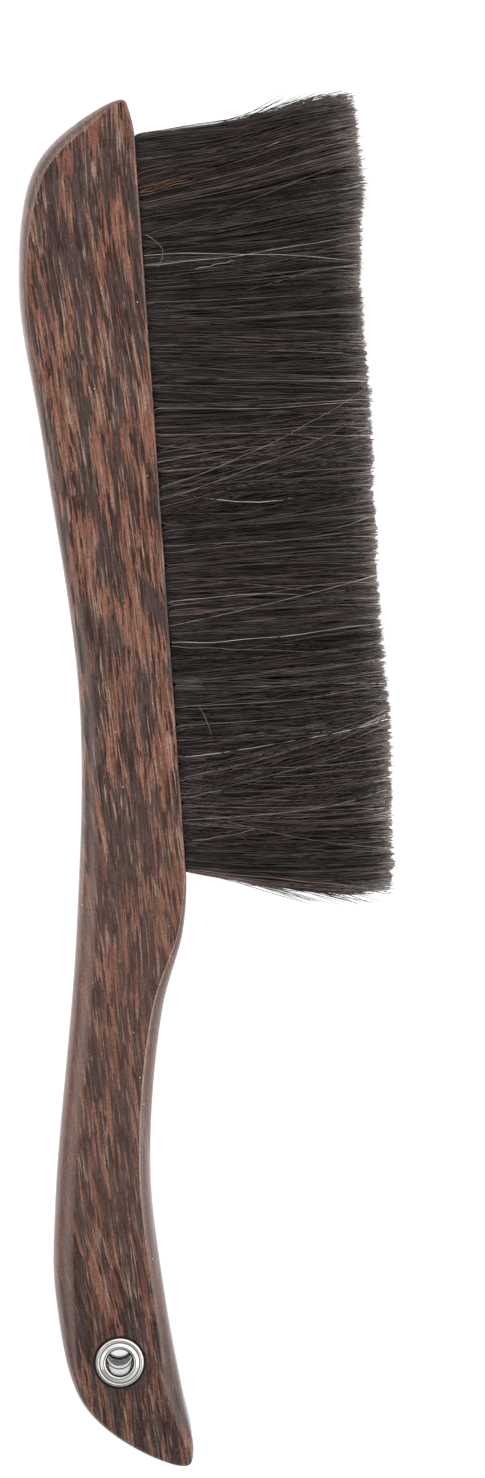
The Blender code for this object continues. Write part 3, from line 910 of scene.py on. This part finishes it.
def hair_colours(rng, count, y):
    """Near-black brown with some reddish, greyish and a few pale hairs, and two ruddy locks."""
    even = smoothstep(-10 * MM, 60 * MM, y)
    depth = np.exp(rng.normal(0, 1, (count, 1)) * blend(0.58, 0.46, even))
    kind = rng.random(count)[:, None]
    colours = np.where(kind < 0.15 + bumps_at(y, RUDDY_LOCKS), RUDDY_HAIR, DARK_HAIR) * depth
    colours = np.where(kind > blend(0.90, 0.94, even), GREY_HAIR * depth, colours)
    return np.where(kind > 0.997, PALE_HAIR, colours)


def lean_share(steps, y):
    """How much of its lean outwards a tuft has at each step: late at the head's end, early at the heel."""
    late = 0.62 * steps + 0.38 * smoothstep(0.35, 0.95, steps)
    early = 1 - (1 - steps) ** 2
    return blend(early, late, smoothstep(-60 * MM, 60 * MM, y))


def notch_depth(y):
    """How much shorter the hairs are at this place along the tips: the ends stand in small lumps."""
    rng = np.random.default_rng(SEED)
    places = -FACE_LENGTH / 2 - 8 * MM + np.cumsum(rng.uniform(1.1, 3.6, 90)) * MM
    depths = rng.uniform(0.15, 1.15, len(places)) * MM
    widths = rng.uniform(0.35, 0.8, len(places)) * MM
    return (depths * np.clip(1 - np.abs(y[:, None] - places) / widths, 0, 1)).max(axis=1)


def strewn(rng, count):
    """Points spread evenly over the unit disc, in a spiral that starts at any angle."""
    order = np.arange(count) + 0.5
    radius = np.sqrt(order / count)
    angle = order * math.pi * (3 - math.sqrt(5)) + rng.random() * 2 * math.pi
    return np.stack([radius * np.cos(angle), radius * np.sin(angle)], axis=1)


def nearest(points, seeds):
    return np.argmin(((points[:, None] - seeds) ** 2).sum(axis=2), axis=1)


def hair_drift(rng, tuft, cell, outer):
    """How far each hair strays from its straight course by its tip, along the row and up."""
    count = len(cell)
    root, middle, half = tuft["root"][1:], tuft["middle"], tuft["half"]
    drift = rng.normal(0, 1, (count, 2)) * DRIFT
    drift[:, 0] *= np.where(rng.random(count) < CROSSING, 2.4, 0.9)
    drift[:, 0] *= 1 - 0.8 * smoothstep(72 * MM, 84 * MM, np.abs(root[0] + cell[:, 0] * half[0]))
    on_top = root[1] + cell[:, 1] * half[1] > SWEPT_ABOVE
    swept = on_top & ((rng.random(count) < 0.6) | (root[0] > 12 * MM))
    drift[:, 0] += np.where(swept, tuft["length"] * np.tan(np.radians(bumps_at(root[0], SWEEPS))), 0)
    tips = middle[0] + cell[:, 0] * half[0]
    drift[:, 0] = np.clip(drift[:, 0], TIPS_LOW - tips, TIPS_HIGH - tips)
    if tuft["at_end"]:
        astray = outer & (rng.random(count) < 0.012)
        drift[:, 0] += np.where(astray, rng.uniform(0.3, 1.2, count) * MM * np.sign(root[0]), 0)
    return drift


def hair_waves(rng, lock):
    """How each hair waves along its length, along the row and up, by itself and with its lock."""
    count = len(lock)
    size = np.where(rng.random(count) < 0.10, WILD_WAVE, WAVE)
    phase = rng.uniform(0, 2 * math.pi, (2, count, 1))
    turns = rng.uniform(0.35, 1.5, (2, count, 1)) * 2 * math.pi
    wave = np.sin(turns * STATIONS + phase) - np.sin(phase)
    wave = wave.transpose(1, 2, 0) * (size * rng.uniform(0.3, 1.0, count))[:, None, None]
    phase = rng.uniform(0, 2 * math.pi, (2, LOCKS_PER_TUFT, 1))
    of_lock = np.sin(rng.uniform(2, 6, (2, LOCKS_PER_TUFT, 1)) * STATIONS + phase) - np.sin(phase)
    return wave + of_lock.transpose(1, 2, 0)[lock] * LOCK_WAVE


def hair_lengths(rng, tuft, lock, tips):
    """How long each hair is: as the shears went, with small lumps, ragged ends and a few that stand out."""
    count = len(lock)
    trim = tuft["length"] + bumps_at(tips, TRIM) * MM
    length = trim + rng.normal(0, 0.30 * MM, LOCKS_PER_TUFT)[lock] + rng.normal(0, 0.06 * MM, count)
    ragged = smoothstep(RAGGED_FROM, RAGGED_TO, tips)
    worn = rng.exponential(0.12 * MM, count) * (1 + 5 * ragged)
    length -= worn + notch_depth(tips) * (1 - 0.6 * ragged)
    length += np.where(rng.random(count) < 0.15, ragged * rng.uniform(0, 1.2, count) * MM, 0)
    return length + np.where(rng.random(count) < 0.008, rng.uniform(0.4, 1.4, count) * MM, 0)


def tuft_paths(rng, tuft):
    """Centrelines of a tuft's hairs, from the hole's bottom to their trimmed tips, and their locks."""
    count, steps = HAIRS_PER_TUFT, STATIONS
    root, middle, half = np.array(tuft["root"][1:]), tuft["middle"], tuft["half"]
    end_side = np.sign(root[0])
    disc = strewn(rng, count)
    cell = disc_to_square(disc)
    outward = cell[:, 0] * end_side
    outer = outward > 0
    seeds = rng.uniform(-1, 1, (LOCKS_PER_TUFT, 2))
    lock = nearest(cell, seeds)
    group_at = seeds[lock]
    cut = np.where(rng.random(count) < BROKEN_SHARE, rng.uniform(0.55, 0.97, count), 1.0)
    if tuft["at_end"]:
        seeds = rng.uniform(-1, 1, (BUNDLES, 2))
        bundle = nearest(cell, seeds)
        group_at = seeds[bundle]
        cut -= np.clip(outward / 0.65 - 0.54, 0, 1) * rng.uniform(0, 0.24, BUNDLES)[bundle]

    lean = lean_share(steps * cut[:, None], root[0])[:, :, None]
    spread = (1 - (1 - MOUTH_SPREAD) * np.exp(-steps / FAN_SHARE))[:, None]
    gather = (smoothstep(0.80, 1.0, steps) * GATHER)[:, None]
    packed = disc * (HOLE_RADIUS - HOLE_MARGIN)
    spot = cell[:, None] + (group_at - cell)[:, None] * gather * (1.7 if tuft["at_end"] else 1.0)
    room = np.tile(half, (count, len(steps), 1))
    if tuft["at_end"]:
        room[outer, :, 0] *= blend(END_SHARE[0] if root[0] > 0 else END_SHARE[1], 1.0, lean[outer, :, 0])
    drift = hair_drift(rng, tuft, cell, outer)
    wave = hair_waves(rng, lock)
    place = root + (middle - root) * lean
    place = place + (packed[:, None] * (1 - spread) + spot * room * spread)
    place = place + wave * (steps**0.8)[:, None] + drift[:, None] * (steps * cut[:, None])[:, :, None]
    if tuft["at_end"]:
        frizz = np.where(rng.random(BUNDLES) < 0.5, rng.exponential(FRIZZ, BUNDLES), 0).clip(0, MOST_FRIZZ)
        frizz = frizz[bundle] * np.clip(outward, 0, 1) + np.where(rng.random(count) < 0.1, 0.5 * MM, 0)
        place[:, :, 0] += frizz[:, None] * smoothstep(0.5, 1.0, steps) * end_side

    length = hair_lengths(rng, tuft, lock, place[:, -1, 0]) * cut
    outside = np.concatenate([(FACE_X + length[:, None] * steps)[:, :, None], place], axis=2)
    inside = np.zeros((count, len(ROOT_DEPTHS), 3))
    inside[:, :, 0] = FACE_X + ROOT_DEPTHS
    inside[:, :, 1:] = (root + packed)[:, None]
    paths = np.concatenate([inside, outside], axis=1)
    paths[:, :, 2] = np.clip(paths[:, :, 2], TABLE_CLEARANCE, THICKNESS - TABLE_CLEARANCE)
    return paths, lock


def make_tuft(tuft, number):
    rng = np.random.default_rng([SEED, number])
    paths, lock = tuft_paths(rng, tuft)
    count = len(paths)
    thick = HAIR_RADIUS * rng.uniform(0.75, 1.2, (count, 1))
    steps = np.concatenate([np.zeros(len(ROOT_DEPTHS)), STATIONS])
    taper = 1 - 0.3 * steps**8
    lock_tone = rng.uniform(0.85, 1.18, LOCKS_PER_TUFT)[lock]
    colours = hair_colours(rng, count, tuft["root"][1]) * lock_tone[:, None]
    name = tuft["node"].replace("tuft", "hair")
    # paler tips: partly their own colour, partly painted light shining through their thin ends
    fade_and_light = 1 + TIP_FADE_AND_LIGHT * smoothstep(0.84, 1.02, steps) + ROOT_FADE * smoothstep(0.20, 0.0, steps)
    hair = strand_tubes(name, paths, thick * taper, colours, fade_and_light, HAIR)
    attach(hair, "root")
    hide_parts(tuft["node"])


def make_stray_hairs():
    """The single hairs, each through its three places, dipping in and out of the top layer."""
    rng = np.random.default_rng([SEED, len(TUFTS)])
    count = len(STRAY_HAIRS)
    t = np.linspace(0, 1, STRAY_STEPS)[:, None]
    paths = np.empty((count, STRAY_STEPS, 3))
    for path, stray in zip(paths, STRAY_HAIRS):
        start, middle, end = np.array(stray[:3])
        route = start * (1 - t) * (1 - 2 * t) + middle * 4 * t * (1 - t) + end * t * (2 * t - 1)
        shake = np.sin(t[:, 0] * rng.uniform(8, 20) + rng.uniform(0, 6)) * 0.12
        path[:, 0] = FACE_X + route[:, 0] * MM
        path[:, 1] = (route[:, 1] + shake) * MM
        dip = np.sin(t[:, 0] * rng.uniform(12, 30) + rng.uniform(0, 6))
        path[:, 2] = THICKNESS - (0.12 + 0.28 * np.clip(dip, 0, 1)) * MM
    radii = STRAY_RADIUS * rng.uniform(0.8, 1.15, (count, 1)) * (1 - 0.4 * t[:, 0] ** 6)
    colours = np.array([stray[3] for stray in STRAY_HAIRS])
    hairs = strand_tubes("stray_hairs", paths, radii, colours, np.ones(STRAY_STEPS), HAIR)
    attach(hairs, "root")


def make_wisps():
    """Loose hairs that part from the block at both ends of the row and taper off beside it."""
    rng = np.random.default_rng([SEED, len(TUFTS) + 1])
    t = np.linspace(0, 1, STRAY_STEPS)
    paths = []
    for side, count, corner, last, bend, reach in WISPS:
        for _ in range(count):
            start = rng.uniform(9, 0.74 * last)
            end = min(start + rng.uniform(9, 19), last * rng.uniform(0.86, 1.02))
            out = start + (end - start) * t
            past = rng.uniform(0.15, 1.0) ** 1.2 * reach * t ** rng.uniform(0.9, 1.8) - 0.4 * (1 - t)
            fan = corner * (1 - np.clip(1 - out / last, 0, 1) ** bend)
            along = FACE_LENGTH / 2 / MM + fan + past
            depth = rng.uniform(0.4, 12) + rng.uniform(-1.2, 1.2) * t
            paths.append(np.stack([FACE_X + out * MM, side * along * MM, THICKNESS - depth * MM], axis=1))
    paths = np.array(paths)
    radii = STRAY_RADIUS * rng.uniform(0.75, 1.1, (len(paths), 1)) * (1 - 0.5 * t**4)
    colours = WISP_COLOUR * rng.uniform(0.6, 1.8, (len(paths), 1))
    wisps = strand_tubes("loose_wisps", paths, radii, colours, np.ones(STRAY_STEPS), HAIR)
    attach(wisps, "root")


def make_anchors():
    """The flat wire that holds each tuft, at the bottom of the hole."""
    bm = bmesh.new()
    corners = ((-1, -1), (1, -1), (1, 1), (-1, 1))
    for tuft in TUFTS:
        _, y, z = tuft["root"]
        ring = [(y + a * WIRE_LENGTH / 2, z + b * WIRE_THICKNESS / 2) for a, b in corners]
        skin(bm, [[bm.verts.new((x, *place)) for place in ring] for x in WIRE_FROM_TO])
    anchors = object_from(bm, "tuft_anchors", WIRE)
    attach(anchors, "root")


# ---------------- surroundings


def make_floor():
    bm = bmesh.new()
    bmesh.ops.create_grid(bm, x_segments=1, y_segments=1, size=3.0)
    floor = object_from(bm, "floor", paper_material())


def make_world():
    """White to the camera, even light on matt surfaces, and a studio for gloss to mirror: a dark ceiling
    over the brush, a dim horizon, and four sides that differ in brightness."""
    world = bpy.data.worlds.new("studio")
    bpy.context.scene.world = world
    t = Tree(world, "Background")
    x, y, z = t.split(t.node("ShaderNodeTexCoord").outputs["Generated"])
    ceiling = t.step(t.math("MULTIPLY_ADD", y, ZENITH_TILT, z), 0.62, 0.84, 1.0, ZENITH)
    room = t.step(t.math("MULTIPLY_ADD", x, HORIZON_TILT, z), 0.10, 0.45, HORIZON, 1.0)
    sides = t.step(x, -0.8, 0.8, LEFT_SIDE, RIGHT_SIDE)
    ends = t.step(y, -0.8, 0.8, END_SIDE, HEAD_SIDE)

    strength = SKY_LIGHT
    rays = t.node("ShaderNodeLightPath").outputs
    for ray, light in (
        ("Is Glossy Ray", t.product(ceiling, room, sides, ends)),
        ("Is Transmission Ray", 1.0),
        ("Is Camera Ray", 1.0),
    ):
        chosen = t.node("ShaderNodeMix")
        for socket, value in ((0, rays[ray]), (2, strength), (3, light)):
            t.put(chosen.inputs[socket], value)
        strength = chosen.outputs[0]
    t.set(Color=(1, 1, 1), Strength=strength)


def add_softbox(name, place, length, width, power):
    light = bpy.data.lights.new(name, "AREA")
    light.shape = "RECTANGLE"
    light.size = length
    light.size_y = width
    light.energy = power
    made = bpy.data.objects.new(name, light)
    made.location = place
    made.rotation_euler = (Vector(SOFTBOX_AIM) - Vector(place)).to_track_quat("-Z", "Y").to_euler()
    bpy.context.scene.collection.objects.link(made)


def make_camera():
    camera = bpy.data.cameras.new("camera")
    camera.lens = CAMERA_LENS
    camera.clip_start = 0.01
    camera.clip_end = 20
    made = bpy.data.objects.new("camera", camera)
    forward = (CAMERA_TARGET - CAMERA_EYE).normalized()
    up = Vector((math.sin(CAMERA_ROLL), math.cos(CAMERA_ROLL), 0))
    right = forward.cross(up).normalized()
    up = right.cross(forward)
    turned = Matrix((right, up, -forward)).transposed().to_4x4()
    made.matrix_world = Matrix.Translation(CAMERA_EYE) @ turned
    bpy.context.scene.collection.objects.link(made)
    bpy.context.scene.camera = made


WOOD = wood_material()
HAIR = hair_material()
NICKEL = nickel_material()
WIRE = wire_material()

TUFTS = [read_tuft(node) for node in sorted(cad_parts) if node.startswith("tuft")]
TIPS_LOW = min(tuft["low"][1] for tuft in TUFTS)
TIPS_HIGH = max(tuft["high"][1] for tuft in TUFTS)

make_stock()
make_front_eyelet()
make_rear_eyelet()
make_anchors()
for number, tuft in enumerate(TUFTS):
    make_tuft(tuft, number)
make_stray_hairs()
make_wisps()
make_floor()
make_world()
for name, softbox in SOFTBOXES.items():
    add_softbox(name, *softbox)
make_camera()
bpy.context.scene.view_settings.view_transform = "Standard"
